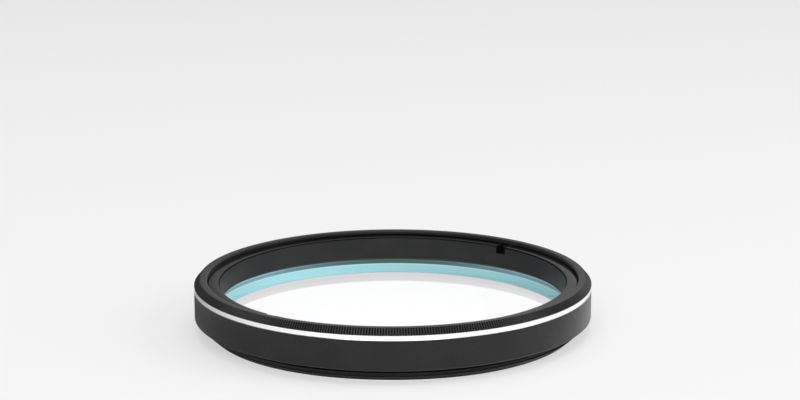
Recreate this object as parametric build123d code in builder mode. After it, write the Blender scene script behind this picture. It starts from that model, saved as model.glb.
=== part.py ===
from build123d import *
import math
import os

os.makedirs("parts", exist_ok=True)

# A screw-in round filter, lying on the end of its male thread, in millimetres
# The origin is the centre of that end and +Z points up through the glass

# Threads of the standard two-inch filter cell, M48 x 0.75, outside and inside
thread_diameter = 48.0
thread_pitch = 0.75
thread_allowance = 0.05
inner_thread_height_factor = 1.0825

# Outside of the cell body, from its lower end upwards
male_thread_length = 1.7
lead_in_width = 0.9
lead_in_height = 0.8
band_overhang = 1.25
band_height = 3.8
band_chamfer_width = 0.3
band_chamfer_height = 0.25
line_height = 0.6
line_depth = 0.05

# Toothed bevel that fingers grip, between the bright line and the flat rim
grip_height = 0.75
grip_slope = 0.65
grip_tooth_count = 480
grip_tooth_depth = 0.12

# Glass disc and the seat that carries it
seat_thickness = 1.35
seat_edge_chamfer = 0.2
glass_thickness = 2.1
glass_overlap = 0.8
glass_edge_chamfer = 0.15
glass_side_clearance = 0.15
glass_stands_proud = 0.25

# Retaining ring, screwed down on the glass until it lies below the rim
ring_wall = 1.5
ring_recess = 0.55
ring_side_clearance = 0.08
ring_edge_chamfer = 0.12
mouth_chamfer = 0.12

# Two opposite slots for the spanner that turns the ring
slot_count = 2
slot_width = 1.5
slot_depth = 1.0
slot_angle = 48.5

# Radii that follow from the sizes above
male_thread_radius = thread_diameter / 2 - thread_allowance
female_thread_radius = (thread_diameter - inner_thread_height_factor * thread_pitch) / 2
body_radius = thread_diameter / 2 + band_overhang
rim_radius = body_radius - grip_slope
ring_radius = female_thread_radius - ring_side_clearance
clear_radius = ring_radius - ring_wall
glass_radius = clear_radius + glass_overlap
pocket_radius = glass_radius + glass_side_clearance

# Heights that follow from the sizes above
line_bottom = male_thread_length + band_height
line_top = line_bottom + line_height
rim_top = line_top + grip_height
glass_top = seat_thickness + glass_thickness
pocket_top = glass_top - glass_stands_proud
ring_top = rim_top - ring_recess


def toothed_outline(crest_radius):
    """Corners of the grip's outline, crests and roots in turn."""
    step = math.pi / grip_tooth_count
    radii = (crest_radius, crest_radius - grip_tooth_depth)
    corners = []
    for corner in range(2 * grip_tooth_count):
        radius = radii[corner % 2]
        corners.append((radius * math.cos(corner * step), radius * math.sin(corner * step)))
    return corners


# Cell body, turned from one bar, with its toothed bevel first
with BuildPart() as cell_body:
    for height, crest_radius in ((line_top, body_radius), (rim_top, rim_radius)):
        with BuildSketch(Plane.XY.offset(height)):
            with BuildLine():
                Polyline(*toothed_outline(crest_radius), close=True)
            make_face()
    loft(ruled=True)
    with BuildSketch(Plane.XZ) as mouth_section:
        with BuildLine():
            Polyline(
                (0, line_top),
                (female_thread_radius, line_top),
                (female_thread_radius, rim_top - mouth_chamfer),
                (female_thread_radius + mouth_chamfer, rim_top),
                (0, rim_top),
                close=True,
            )
        make_face()
    revolve(axis=Axis.Z, mode=Mode.SUBTRACT)
    with BuildSketch(Plane.XZ) as body_section:
        with BuildLine():
            Polyline(
                (clear_radius + seat_edge_chamfer, 0),
                (male_thread_radius - lead_in_width, 0),
                (male_thread_radius, lead_in_height),
                (male_thread_radius, male_thread_length),
                (body_radius - band_chamfer_width, male_thread_length),
                (body_radius, male_thread_length + band_chamfer_height),
                (body_radius, line_bottom),
                (body_radius - line_depth, line_bottom + line_depth),
                (body_radius - line_depth, line_top - line_depth),
                (body_radius, line_top),
                (female_thread_radius, line_top),
                (female_thread_radius, pocket_top),
                (pocket_radius, pocket_top),
                (pocket_radius, seat_thickness),
                (clear_radius, seat_thickness),
                (clear_radius, seat_edge_chamfer),
                close=True,
            )
        make_face()
    revolve(axis=Axis.Z)
cell_body.part.label = "cell_body"

# Coated glass disc, with both edges ground to a small chamfer
with BuildPart() as filter_glass:
    with BuildSketch(Plane.XY.offset(seat_thickness)):
        Circle(glass_radius)
    extrude(amount=glass_thickness)
    chamfer(filter_glass.edges().filter_by(GeomType.CIRCLE), length=glass_edge_chamfer)
filter_glass.part.label = "filter_glass"

# Retaining ring, clamping the glass on its seat
with BuildPart() as retaining_ring:
    with BuildSketch(Plane.XY.offset(glass_top)):
        Circle(ring_radius)
        Circle(clear_radius, mode=Mode.SUBTRACT)
    extrude(amount=ring_top - glass_top)
    chamfer(retaining_ring.faces().sort_by(Axis.Z)[-1].edges(), length=ring_edge_chamfer)
    with BuildSketch(Plane.XY.offset(ring_top)):
        with PolarLocations((clear_radius + ring_radius) / 2, slot_count, start_angle=slot_angle):
            Rectangle(2 * ring_wall, slot_width)
    extrude(amount=-slot_depth, mode=Mode.SUBTRACT)
retaining_ring.part.label = "retaining_ring"

export_step(cell_body.part, "parts/cell_body.step")
export_step(filter_glass.part, "parts/filter_glass.step")
export_step(retaining_ring.part, "parts/retaining_ring.step")

print("overall height", round(rim_top, 3), "diameter", round(2 * body_radius, 3))
print("clear opening", round(2 * clear_radius, 3), "ring height", round(ring_top - glass_top, 3))
print("male thread wall radius", round(male_thread_radius, 4), "from", lead_in_height, "to", male_thread_length)
print("female thread wall radius", round(female_thread_radius, 4), "from", round(pocket_top, 3))
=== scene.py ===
import math

import bmesh
import bpy
from mathutils import Matrix, Vector


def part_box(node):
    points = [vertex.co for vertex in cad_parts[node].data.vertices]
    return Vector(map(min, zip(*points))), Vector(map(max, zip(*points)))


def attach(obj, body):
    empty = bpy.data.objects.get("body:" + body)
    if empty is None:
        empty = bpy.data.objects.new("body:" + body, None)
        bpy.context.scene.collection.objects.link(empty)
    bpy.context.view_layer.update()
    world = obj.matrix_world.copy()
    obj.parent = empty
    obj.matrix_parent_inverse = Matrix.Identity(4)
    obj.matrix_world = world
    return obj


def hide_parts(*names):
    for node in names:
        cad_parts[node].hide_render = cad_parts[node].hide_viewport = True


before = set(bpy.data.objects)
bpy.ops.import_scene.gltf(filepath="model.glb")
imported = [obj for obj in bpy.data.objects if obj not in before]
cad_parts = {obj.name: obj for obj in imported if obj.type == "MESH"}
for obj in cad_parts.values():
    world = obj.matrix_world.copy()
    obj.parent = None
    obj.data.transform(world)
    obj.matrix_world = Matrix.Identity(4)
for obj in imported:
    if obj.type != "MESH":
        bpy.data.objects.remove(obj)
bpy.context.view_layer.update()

# Sizes in metres, with the outer ones read from the frame
mm = 0.001
body_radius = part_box("cell_body")[1].x
rim_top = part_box("cell_body")[1].z
glass_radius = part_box("filter_glass")[1].x
glass_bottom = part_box("filter_glass")[0].z
glass_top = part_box("filter_glass")[1].z
ring_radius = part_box("retaining_ring")[1].x
ring_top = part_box("retaining_ring")[1].z

# Outside of the cell body, from its lower end upwards
male_thread_radius = 23.95 * mm
shoulder_height = 1.7 * mm
lead_in_width = 0.9 * mm
lead_in_height = 0.8 * mm
relief_height = 0.55 * mm
relief_depth = 0.26 * mm
band_chamfer_width = 0.3 * mm
band_chamfer_height = 0.25 * mm
line_height = 0.6 * mm
line_depth = 0.05 * mm
grip_height = 0.75 * mm
grip_slope = 0.65 * mm
tooth_count = 480
tooth_depth = 0.16 * mm

# Inside of the cell body, and the glass that lies in it
mouth_chamfer = 0.12 * mm
glass_stands_proud = 0.25 * mm
pocket_clearance = 0.15 * mm
seat_edge_chamfer = 0.2 * mm
glass_chamfer = 0.15 * mm
glass_lift = 0.01 * mm

# Retaining ring
ring_wall = 1.5 * mm
ring_chamfer = 0.12 * mm
ring_side_clearance = 0.08 * mm
slot_width = 1.5 * mm
slot_depth = 1.0 * mm
slot_angles = (math.radians(48.5), math.radians(228.5))

# Threads, whose grooves start at the front of the cell and run in and out over a part of a turn
thread_pitch = 0.75 * mm
thread_root_width = 0.09 * mm
thread_flank = math.radians(30)
thread_overshoot = 0.07 * mm
male_groove_depth = 0.26 * mm
male_groove_start = -0.70 * mm
male_groove_turns = 2.7
male_run_in = 0.1
male_run_out = 0.02
female_groove_depth = 0.41 * mm
female_groove_above_pocket = 0.35 * mm
female_groove_turns = 3.8
female_run_in = 0.15
female_run_out = 0.3

# How finely round pieces are turned
columns = 2 * tooth_count
glass_columns = 480
thread_columns = 360
edge_softness = 0.04 * mm
sharp_angle = math.radians(28)
weld_distance = 1e-8
hair = 0.001 * mm

# Radii and heights that follow
clear_radius = ring_radius - ring_wall
female_thread_radius = ring_radius + ring_side_clearance
pocket_radius = glass_radius + pocket_clearance
pocket_top = glass_top - glass_stands_proud
rim_radius = body_radius - grip_slope
foot_inner_radius = clear_radius + seat_edge_chamfer
foot_outer_radius = male_thread_radius - lead_in_width
relief_bottom = shoulder_height - relief_height
line_top = rim_top - grip_height
line_bottom = line_top - line_height

# Spacing of the lathe's marks, and how deep the finishes look
anodised_mark_spacing = 0.12 * mm
anodised_bump = 0.006 * mm
bare_mark_spacing = 0.05 * mm
bare_bump = 0.003 * mm
ground_glass_bump = 0.01 * mm

# Fineness of the noise in the finishes, in cells to the metre
tone_cells = 160
grain_cells = 9000
film_cells = 60
ground_glass_cells = 700

# Nearly all noise values lie between these
noise_low = 0.3
noise_high = 0.7

# Roots between the grip's teeth, duller and with painted shade that darkens their colour, with shares of a
# tooth's depth
root_end = 0.75
crest_start = 0.35
root_painted_shade = 0.05
root_roughness = 0.9

# Colours in the ground edge of the glass, from its top down: lower end, head-on, from the side. The two dark
# teal bands are painted shadow of the retaining ring, the grey-teal and the white-cyan lines are painted
# highlights, and only the lowest band is the edge's own cyan
edge_painted_light_bands = [
    (3.02 * mm, (0.014, 0.028, 0.026), (0.05, 0.11, 0.14)),
    (2.84 * mm, (0.140, 0.210, 0.210), (0.50, 0.84, 0.90)),
    (2.44 * mm, (0.070, 0.160, 0.175), (0.27, 0.50, 0.60)),
    (2.28 * mm, (0.680, 1.000, 1.000), (0.66, 1.00, 1.00)),
    (glass_bottom, (0.520, 0.880, 0.930), (0.52, 0.88, 0.93)),
]
edge_band_blur = 0.03 * mm
# Where the painted reflection seen from the side begins and where it is full, by how far a face is turned
# away
side_view_start = 0.04
side_view_end = 0.30

# Camera, at the photograph's angle
camera_elevation = math.radians(14.91)
camera_distance = 271 * mm
camera_target = Vector((0, 0, 6.1 * mm))
camera_aim = Vector((0.94 * mm, 0, 16.56 * mm))
camera_roll = math.radians(0.14)
camera_focal_pixels = 2123
frame_width_pixels = 800

# Floor, with the painted shade that mirrors see near the filter, its white share for the camera, and a
# painted pool of light inside the filter's foot
floor_radius = 2.0
floor_tone = 0.8
mirrored_painted_shade_behind = 0.08
dark_slant = 0.6
dark_start = -20 * mm
dark_end = 30 * mm
near_radius = 30 * mm
far_radius = 50 * mm
white_share = 0.55
painted_light_share_inside = 0.85
painted_light_glow_inside = 1.15

# Softboxes: name, place, width and brightness of the face
softboxes = [
    ("key", (0.45, -0.08, 0.27), 0.3, 3.0),
    ("top", (0, -0.05, 0.55), 0.4, 1.8),
    ("front", (-0.08, -0.5, 0.35), 0.35, 3.8),
]

# Room and its pale horizon, with the X and Z of the directions between which they change
room_left = 0.28
room_right = 0.58
room_side = 0.12
horizon_glow = 0.85
horizon_end = 0.09
room_start = 0.15


def add_camera():
    data = bpy.data.cameras.new("camera")
    data.lens = data.sensor_width * camera_focal_pixels / frame_width_pixels
    data.clip_start = 0.01
    data.clip_end = 20
    camera = bpy.data.objects.new("camera", data)
    bpy.context.scene.collection.objects.link(camera)
    away = Vector((0, -math.cos(camera_elevation), math.sin(camera_elevation)))
    camera.location = camera_target + camera_distance * away
    turn = (camera_aim - camera.location).to_track_quat("-Z", "Y").to_matrix()
    roll = Matrix.Rotation(-camera_roll, 3, "Z")
    camera.rotation_euler = (turn @ roll).to_euler()
    bpy.context.scene.camera = camera


# Helpers for the nodes of materials
def node_maker(tree):
    """A function that adds a node to the tree. An input is a value or another node's output."""
    def node(kind, inputs=None, **settings):
        made = tree.nodes.new(kind)
        for key, value in settings.items():
            setattr(made, key, value)
        for key, value in (inputs or {}).items():
            if isinstance(value, bpy.types.NodeSocket):
                tree.links.new(value, made.inputs[key])
            else:
                made.inputs[key].default_value = value
        return made

    return node


def new_material(name):
    """A material with its shader, a helper that adds nodes and one that plugs them into the shader."""
    material = bpy.data.materials.new(name)
    material.use_nodes = True
    tree = material.node_tree
    shader = tree.nodes["Principled BSDF"]

    def plug(output, key):
        tree.links.new(output, shader.inputs[key])

    return material, shader, node_maker(tree), plug


def object_place(node):
    """The point on the object."""
    return node("ShaderNodeTexCoord").outputs["Object"]


def polar_place(node):
    """The point's distance from the axis and its height."""
    split = node("ShaderNodeSeparateXYZ", {0: object_place(node)})
    across = node("ShaderNodeCombineXYZ", {"X": split.outputs["X"], "Y": split.outputs["Y"]})
    radius = node("ShaderNodeVectorMath", {0: across.outputs[0]}, operation="LENGTH")
    return radius.outputs["Value"], split.outputs["Z"]


def maths(node, operation, *values, clamp=False):
    made = node("ShaderNodeMath", dict(enumerate(values)), operation=operation, use_clamp=clamp)
    return made.outputs[0]


def mix(node, share, one, other):
    """The number one where the share is 0, and the other where it is 1."""
    return node("ShaderNodeMix", {"Factor": share, 2: one, 3: other}).outputs[0]


def mix_colours(node, share, one, other):
    """The colour one where the share is 0, and the other where it is 1."""
    return node("ShaderNodeMix", {"Factor": share, 6: one, 7: other}, data_type="RGBA").outputs[2]


def spread(node, value, low, high, to_low, to_high):
    """Maps values from low to high onto to_low to to_high, and clamps them there."""
    limits = {"Value": value, "From Min": low, "From Max": high, "To Min": to_low, "To Max": to_high}
    return node("ShaderNodeMapRange", limits).outputs["Result"]


def ramp(node, value, stops):
    """A colour ramp with the given (position, colour) stops."""
    made = node("ShaderNodeValToRGB", {"Fac": value})
    elements = made.color_ramp.elements
    while len(elements) < len(stops):
        elements.new(0.5)
    for element, (position, colour) in zip(elements, stops):
        element.position = position
        element.color = (*colour, 1)
    return made.outputs["Color"]


def noise(node, place, cells, detail, roughness=0.5):
    settings = {"Vector": place, "Scale": cells, "Detail": detail, "Roughness": roughness}
    return node("ShaderNodeTexNoise", settings).outputs["Fac"]


def vary(node, value, lowest, highest):
    """A number that follows a noise value between two limits."""
    return spread(node, value, noise_low, noise_high, lowest, highest)


def bump(node, height, strength, distance):
    return node("ShaderNodeBump", {"Strength": strength, "Distance": distance, "Height": height}).outputs[0]


def turned_away(node):
    """0 where a face is seen head-on, 1 where it is seen edge-on."""
    return node("ShaderNodeLayerWeight", {"Blend": 0.5}).outputs["Facing"]


def turning_marks(node, spacing):
    """Fine marks of the lathe tool: rings on flat faces and lines round the walls."""
    radius, height = polar_place(node)
    track = node("ShaderNodeCombineXYZ", {"X": maths(node, "SUBTRACT", radius, height)})
    return noise(node, track.outputs[0], 1 / spacing, detail=3, roughness=0.6)


def tooth_crests(node):
    """1 on the crests of the grip's teeth, 0 in their roots, where shade is painted."""
    radius, height = polar_place(node)
    slope = grip_slope / grip_height
    from_cone = maths(node, "MULTIPLY_ADD", height, slope, radius)
    crest = body_radius + line_top * slope
    return spread(node, from_cone, crest - root_end * tooth_depth, crest - crest_start * tooth_depth, 0, 1)


# Materials
def grey(value):
    return (value, value, 1.03 * value)


def anodised_aluminium(name, tone, roughness, gleam, toothed=False):
    """Black oxide on turned metal, a little uneven in tone and gloss. Between the grip's teeth it is duller,
    and painted shade darkens the roots.
    """
    material, shader, node, plug = new_material(name)
    place = object_place(node)
    marks = turning_marks(node, anodised_mark_spacing)
    cloud = noise(node, place, tone_cells, detail=4, roughness=0.55)
    grain = noise(node, place, grain_cells, detail=2, roughness=0.6)
    colour = ramp(node, cloud, [(noise_low, grey(0.8 * tone)), (noise_high, grey(1.2 * tone))])
    dullness = vary(node, grain, roughness - 0.05, roughness + 0.07)
    if toothed:
        crests = tooth_crests(node)
        # Painted shade: the roots between the teeth get a much darker colour; their higher roughness is the
        # duller finish
        colour = mix_colours(node, crests, (*grey(root_painted_shade * tone), 1), colour)
        dullness = mix(node, crests, root_roughness, dullness)
    plug(colour, "Base Color")
    plug(dullness, "Roughness")
    relief = maths(node, "MULTIPLY_ADD", marks, 0.35, grain)
    plug(bump(node, relief, 0.25, anodised_bump), "Normal")
    shader.inputs["Specular IOR Level"].default_value = gleam
    return material


def bare_aluminium(name, tint, roughness):
    """Freshly turned metal, with the tool's lines round it."""
    material, shader, node, plug = new_material(name)
    marks = turning_marks(node, bare_mark_spacing)
    darker = tuple(0.94 * share for share in tint)
    plug(ramp(node, marks, [(0.35, darker), (0.65, tint)]), "Base Color")
    plug(vary(node, marks, roughness - 0.06, roughness + 0.06), "Roughness")
    plug(bump(node, marks, 0.3, bare_bump), "Normal")
    shader.inputs["Metallic"].default_value = 1.0
    return material


def polished_glass(name, head_on, grazing):
    """A polished face that shows what lies behind it, and mirrors more at low angles."""
    material, shader, node, plug = new_material(name)
    steep = maths(node, "POWER", turned_away(node), 5.0)
    plug(maths(node, "MULTIPLY_ADD", steep, grazing, head_on, clamp=True), "Alpha")
    film = noise(node, object_place(node), film_cells, detail=2)
    plug(vary(node, film, 0.02, 0.05), "Roughness")
    plug(ramp(node, film, [(0.0, (0.80, 0.95, 1.0)), (1.0, (0.97, 0.93, 1.0))]), "Base Color")
    shader.inputs["Metallic"].default_value = 1.0
    return material


def glass_edge(name):
    """The ground edge of the disc, cyan below, with painted shadow of the retaining ring and painted
    highlight lines in bands near its top. The dark bands turn lighter where they are seen from the side, a
    painted reflection."""
    material, shader, node, plug = new_material(name)
    radius, height = polar_place(node)
    thickness = glass_top - glass_bottom
    share = spread(node, height, glass_bottom, glass_top, 0, 1)
    head_on, sideways = [], []
    upper_end = glass_top
    for lower_end, seen_head_on, seen_sideways in edge_painted_light_bands:
        for end in (upper_end - edge_band_blur, lower_end + edge_band_blur):
            position = (end - glass_bottom) / thickness
            head_on.insert(0, (position, seen_head_on))
            sideways.insert(0, (position, seen_sideways))
        upper_end = lower_end
    # Painted reflection: the bands turn lighter and bluer where the edge is seen from the side
    side_view = spread(node, turned_away(node), side_view_start, side_view_end, 0, 1)
    plug(mix_colours(node, side_view, ramp(node, share, head_on), ramp(node, share, sideways)), "Base Color")
    cloud = noise(node, object_place(node), ground_glass_cells, detail=3)
    plug(vary(node, cloud, 0.35, 0.5), "Roughness")
    plug(bump(node, cloud, 0.2, ground_glass_bump), "Normal")
    return material


# Turned pieces, whose outlines have corners of three kinds
sharp, softened, toothed = range(3)


def turned(corners, steps=columns, closed=True):
    """Spins an outline round the axis. A corner is a radius, a height and its kind. A softened
    corner is rounded, and a toothed one is drawn in at every second column."""
    bm = bmesh.new()
    grip = bm.verts.layers.int.new("grip")
    points = []
    soft_points = []
    for radius, height, kind in corners:
        point = bm.verts.new((radius, 0, height))
        point[grip] = int(kind == toothed)
        points.append(point)
        if kind == softened:
            soft_points.append(point)
    for one, two in zip(points, points[1:] + points[:1] if closed else points[1:]):
        bm.edges.new((one, two))
    bmesh.ops.bevel(
        bm, geom=soft_points, offset=edge_softness, offset_type="OFFSET", segments=2, profile=0.5,
        affect="VERTICES", material=-1,
    )
    bmesh.ops.spin(
        bm, geom=bm.verts[:] + bm.edges[:], cent=(0, 0, 0), axis=(0, 0, 1), angle=2 * math.pi,
        steps=steps, use_merge=True,
    )
    for vertex in bm.verts:
        column = round(math.atan2(vertex.co.y, vertex.co.x) * steps / (2 * math.pi))
        if vertex[grip] and column % 2:
            vertex.co.xy *= 1 - tooth_depth / vertex.co.xy.length
    bmesh.ops.remove_doubles(bm, verts=bm.verts[:], dist=weld_distance)
    bmesh.ops.recalc_face_normals(bm, faces=bm.faces[:])
    return bm


def paint(bm, index, wanted):
    """Gives a material to each face whose centre's radius and height pass the test."""
    for face in bm.faces:
        centre = face.calc_center_median()
        if wanted(centre.xy.length, centre.z):
            face.material_index = index


def new_piece(bm, name, materials):
    """Turns a bmesh into an object with its materials, smooth but for its sharp edges."""
    mesh = bpy.data.meshes.new(name)
    bm.to_mesh(mesh)
    bm.free()
    for material in materials:
        mesh.materials.append(material)
    mesh.shade_smooth()
    mesh.set_sharp_from_angle(angle=sharp_angle)
    piece = bpy.data.objects.new(name, mesh)
    bpy.context.scene.collection.objects.link(piece)
    return piece


def cut_away(piece, tool):
    """Takes the tool's volume out of the piece, and removes the tool."""
    cut = piece.modifiers.new("cut", "BOOLEAN")
    cut.operation = "DIFFERENCE"
    cut.solver = "MANIFOLD"
    cut.object = tool
    depsgraph = bpy.context.evaluated_depsgraph_get()
    mesh = bpy.data.meshes.new_from_object(piece.evaluated_get(depsgraph), depsgraph=depsgraph)
    piece.modifiers.clear()
    piece.data = mesh
    bpy.data.objects.remove(tool)
    mesh.shade_smooth()
    mesh.set_sharp_from_angle(angle=sharp_angle)


def thread_tool(wall_radius, side, depth, start_height, turns, run_in, run_out, draw_in=0):
    """A coil along the path of a threading tool, starting at the front of the cell.
    It cuts towards the axis with side -1 and away from it with side 1, and leaves the wall over
    its first run_in and last run_out turns. On the lead-in it is drawn in with the cone."""
    root = wall_radius + side * depth
    mouth = wall_radius - side * thread_overshoot
    half_root = thread_root_width / 2
    half_mouth = half_root + abs(mouth - root) * math.tan(thread_flank)
    bm = bmesh.new()
    section = [(root, -half_root), (root, half_root), (mouth, half_mouth), (mouth, -half_mouth)]
    face = bm.faces.new([bm.verts.new((radius, 0, height)) for radius, height in section])
    steps = round(turns * thread_columns)
    bmesh.ops.spin(
        bm, geom=[face], cent=(0, 0, 0), axis=(0, 0, 1), angle=turns * 2 * math.pi, steps=steps,
        dvec=Vector((0, 0, turns * thread_pitch / steps)),
    )
    for vertex in bm.verts:
        angle = math.atan2(vertex.co.y, vertex.co.x) / (2 * math.pi)
        turned_so_far = angle + round(vertex.co.z / thread_pitch - angle)
        lift = max(1 - turned_so_far / run_in, 1 - (turns - turned_so_far) / run_out, 0)
        height = start_height + turned_so_far * thread_pitch
        inwards = draw_in * max(1 - height / lead_in_height, 0)
        radius = vertex.co.xy.length
        vertex.co.xy *= (radius - side * lift * (depth + thread_overshoot) - inwards) / radius
    to_front = Matrix.Translation((0, 0, start_height)) @ Matrix.Rotation(-math.pi / 2, 4, "Z")
    bmesh.ops.transform(bm, matrix=to_front, verts=bm.verts[:])
    bmesh.ops.recalc_face_normals(bm, faces=bm.faces[:])
    return new_piece(bm, "thread_tool", [])


def make_cell(black, bare, clean, grip):
    """The cell body: thread, relief, shoulder, band, bright line, toothed grip, rim and inside."""
    bm = turned([
        (foot_inner_radius, 0, sharp),
        (foot_outer_radius, 0, softened),
        (male_thread_radius, lead_in_height, softened),
        (male_thread_radius, relief_bottom, sharp),
        (male_thread_radius - relief_depth, relief_bottom + relief_depth / 2, sharp),
        (male_thread_radius - relief_depth, shoulder_height, sharp),
        (body_radius - band_chamfer_width, shoulder_height, softened),
        (body_radius, shoulder_height + band_chamfer_height, softened),
        (body_radius, line_bottom, sharp),
        (body_radius - line_depth, line_bottom + line_depth, sharp),
        (body_radius - line_depth, line_top - line_depth, sharp),
        (body_radius, line_top, sharp),
        (body_radius, line_top, toothed),
        (rim_radius, rim_top, toothed),
        (female_thread_radius + mouth_chamfer, rim_top, softened),
        (female_thread_radius, rim_top - mouth_chamfer, softened),
        (female_thread_radius, pocket_top, sharp),
        (pocket_radius, pocket_top, sharp),
        (pocket_radius, glass_bottom, sharp),
        (clear_radius, glass_bottom, sharp),
        (clear_radius, seat_edge_chamfer, sharp),
    ])
    line_floor = body_radius - 1.5 * line_depth
    bore_top = glass_bottom - edge_softness
    materials = [black, bare, clean, grip]
    painting = [
        (bare, lambda radius, height: radius > line_floor and line_bottom < height < line_top),
        (clean, lambda radius, height: radius < foot_inner_radius and height < bore_top),
        (bare, lambda radius, height: radius < foot_inner_radius and 0 < height < seat_edge_chamfer),
        (grip, lambda radius, height: radius > rim_radius - tooth_depth and height > line_top),
    ]
    for material, wanted in painting:
        paint(bm, materials.index(material), wanted)
    cell = new_piece(bm, "cell", materials)
    cut_away(cell, thread_tool(
        male_thread_radius, -1, male_groove_depth, male_groove_start, male_groove_turns,
        male_run_in, male_run_out, draw_in=lead_in_width,
    ))
    cut_away(cell, thread_tool(
        female_thread_radius, 1, female_groove_depth, pocket_top + female_groove_above_pocket,
        female_groove_turns, female_run_in, female_run_out,
    ))
    return cell


def make_ring(wall, face, slot):
    """The retaining ring, with two slots for the spanner that turns it. Its slots and inner top chamfer get
    a much darker black, painted shade.
    """
    bm = turned([
        (clear_radius, glass_top, sharp),
        (ring_radius, glass_top, sharp),
        (ring_radius, ring_top - ring_chamfer, softened),
        (ring_radius - ring_chamfer, ring_top, softened),
        (clear_radius + ring_chamfer, ring_top, softened),
        (clear_radius, ring_top - ring_chamfer, softened),
    ])
    chamfer_bottom = ring_top - ring_chamfer
    inner_edge = clear_radius + ring_chamfer
    materials = [wall, face, slot]
    paint(bm, materials.index(face), lambda radius, height: height > chamfer_bottom - edge_softness)
    # Painted shade: the inner top chamfer gets a much darker black
    paint(bm, materials.index(slot), lambda radius, height: radius < inner_edge and height > chamfer_bottom)
    ring = new_piece(bm, "ring", materials)
    for slot_angle in slot_angles:
        bm = bmesh.new()
        bmesh.ops.create_cube(bm, size=1)
        bmesh.ops.scale(bm, vec=(2 * ring_wall, slot_width, 2 * slot_depth), verts=bm.verts[:])
        bmesh.ops.translate(bm, vec=((clear_radius + ring_radius) / 2, 0, ring_top), verts=bm.verts[:])
        slot_turn = Matrix.Rotation(slot_angle, 3, "Z")
        bmesh.ops.rotate(bm, cent=(0, 0, 0), matrix=slot_turn, verts=bm.verts[:])
        # Painted shade: the slots' faces get a much darker black
        paint(bm, materials.index(slot), lambda radius, height: True)
        cut_away(ring, new_piece(bm, "slot_tool", []))
    return ring


def make_glass(front, back, edge):
    """The glass disc, with its two ground chamfers. It stops a hair above its seat."""
    lower_face = glass_bottom + glass_lift
    corners = [
        (0, glass_top, sharp),
        (clear_radius, glass_top, sharp),
        (glass_radius - glass_chamfer, glass_top, sharp),
        (glass_radius, glass_top - glass_chamfer, sharp),
        (glass_radius, lower_face + glass_chamfer, sharp),
        (glass_radius - glass_chamfer, lower_face, sharp),
        (clear_radius, lower_face, sharp),
        (0, lower_face, sharp),
    ]
    bm = turned(corners, steps=glass_columns, closed=False)
    materials = [front, back, edge]
    painting = [
        (back, lambda radius, height: radius < clear_radius and height < glass_top - glass_chamfer),
        (edge, lambda radius, height: radius > clear_radius and height < glass_top - hair),
    ]
    for material, wanted in painting:
        paint(bm, materials.index(material), wanted)
    return new_piece(bm, "glass_disc", materials)


def dress(piece, node):
    """Seats a piece on the frame: it rides on the body and stands for its CAD node."""
    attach(piece, "root")
    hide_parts(node)


# Stage and light
def pale_floor():
    """Pale paper. Mirrors see painted shade on it near the filter, towards its back and left. Inside the
    filter's foot it has a painted pool of light, whiter for the camera and for mirrors."""
    material, shader, node, plug = new_material("pale_floor")
    tree = material.node_tree
    radius = polar_place(node)[0]
    split = node("ShaderNodeSeparateXYZ", {0: object_place(node)})
    # Painted shade that only mirrors see: darker near the filter, towards its back and left
    slanted = maths(node, "MULTIPLY_ADD", split.outputs["X"], -dark_slant, split.outputs["Y"])
    near = spread(node, slanted, dark_start, dark_end, 1.0, mirrored_painted_shade_behind)
    away = spread(node, radius, near_radius, far_radius, 0, 1)
    mirrored_tone = mix(node, away, near, 1.0)
    path = node("ShaderNodeLightPath").outputs
    inside = maths(node, "LESS_THAN", radius, foot_outer_radius)
    plug(mix(node, path["Is Glossy Ray"], floor_tone, mirrored_tone), "Base Color")
    shader.inputs["Roughness"].default_value = 0.9
    shader.inputs["Specular IOR Level"].default_value = 0.0
    mirrored = maths(node, "MULTIPLY", path["Is Glossy Ray"], inside)
    seen = maths(node, "MAXIMUM", path["Is Camera Ray"], mirrored)
    seen = maths(node, "MAXIMUM", seen, path["Is Transmission Ray"])
    # Painted light: inside the filter's foot the floor glows brighter and whiter, for the camera and for
    # mirrors
    share = maths(node, "MULTIPLY", seen, mix(node, inside, white_share, painted_light_share_inside))
    white = node("ShaderNodeEmission", {"Strength": mix(node, inside, 1.0, painted_light_glow_inside)})
    mixed = node("ShaderNodeMixShader", {0: share, 1: shader.outputs[0], 2: white.outputs[0]})
    tree.links.new(mixed.outputs[0], tree.nodes["Material Output"].inputs["Surface"])
    return material


def add_floor():
    bm = bmesh.new()
    bmesh.ops.create_circle(bm, cap_ends=True, segments=96, radius=floor_radius)
    floor = new_piece(bm, "floor", [pale_floor()])


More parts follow.
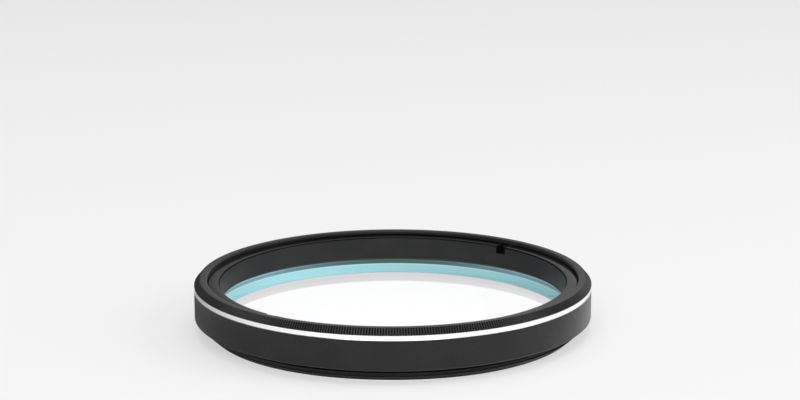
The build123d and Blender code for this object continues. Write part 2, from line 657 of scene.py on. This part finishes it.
def add_softbox(name, place, size, glow):
    """A square area lamp that faces the filter. glow is the brightness of its face."""
    lamp = bpy.data.lights.new(name, "AREA")
    lamp.shape = "SQUARE"
    lamp.size = size
    lamp.energy = math.pi * size * size * glow
    box = bpy.data.objects.new(name, lamp)
    bpy.context.scene.collection.objects.link(box)
    box.location = place
    box.rotation_euler = (-Vector(place)).to_track_quat("-Z", "Y").to_euler()
    box.visible_camera = False


def add_world():
    """A dim grey room with a pale horizon, brighter on the right."""
    world = bpy.data.worlds.new("studio")
    world.use_nodes = True
    tree = world.node_tree
    node = node_maker(tree)
    direction = node("ShaderNodeSeparateXYZ", {0: node("ShaderNodeTexCoord").outputs["Generated"]})
    room = spread(node, direction.outputs["X"], -room_side, room_side, room_left, room_right)
    above = spread(node, direction.outputs["Z"], horizon_end, room_start, 0, 1)
    background = tree.nodes["Background"]
    background.inputs["Color"].default_value = (1, 1, 1, 1)
    tree.links.new(mix(node, above, horizon_glow, room), background.inputs["Strength"])
    bpy.context.scene.world = world


bpy.context.scene.view_settings.view_transform = "Standard"
add_camera()
add_world()
add_floor()
for softbox in softboxes:
    add_softbox(*softbox)

cell = make_cell(
    black=anodised_aluminium("satin_black", tone=0.018, roughness=0.30, gleam=0.2),
    bare=bare_aluminium("bare_aluminium", tint=(0.97, 0.97, 0.975), roughness=0.22),
    clean=bare_aluminium("clean_bore", tint=(0.85, 0.83, 0.85), roughness=0.35),
    grip=anodised_aluminium("grip_black", tone=0.028, roughness=0.30, gleam=0.2, toothed=True),
)
dress(cell, "cell_body")
ring = make_ring(
    wall=anodised_aluminium("ring_wall_black", tone=0.030, roughness=0.42, gleam=0.08),
    face=anodised_aluminium("ring_face_black", tone=0.010, roughness=0.11, gleam=0.14),
    # Painted shade for the slots and the ring's inner top chamfer: a much darker, duller black
    slot=anodised_aluminium("ring_slot_and_edge_painted_shade", tone=0.004, roughness=0.60, gleam=0.03),
)
dress(ring, "retaining_ring")
disc = make_glass(
    front=polished_glass("coated_face", head_on=0.03, grazing=0.35),
    back=polished_glass("clear_face", head_on=0.01, grazing=0.1),
    edge=glass_edge("glass_edge"),
)
dress(disc, "filter_glass")
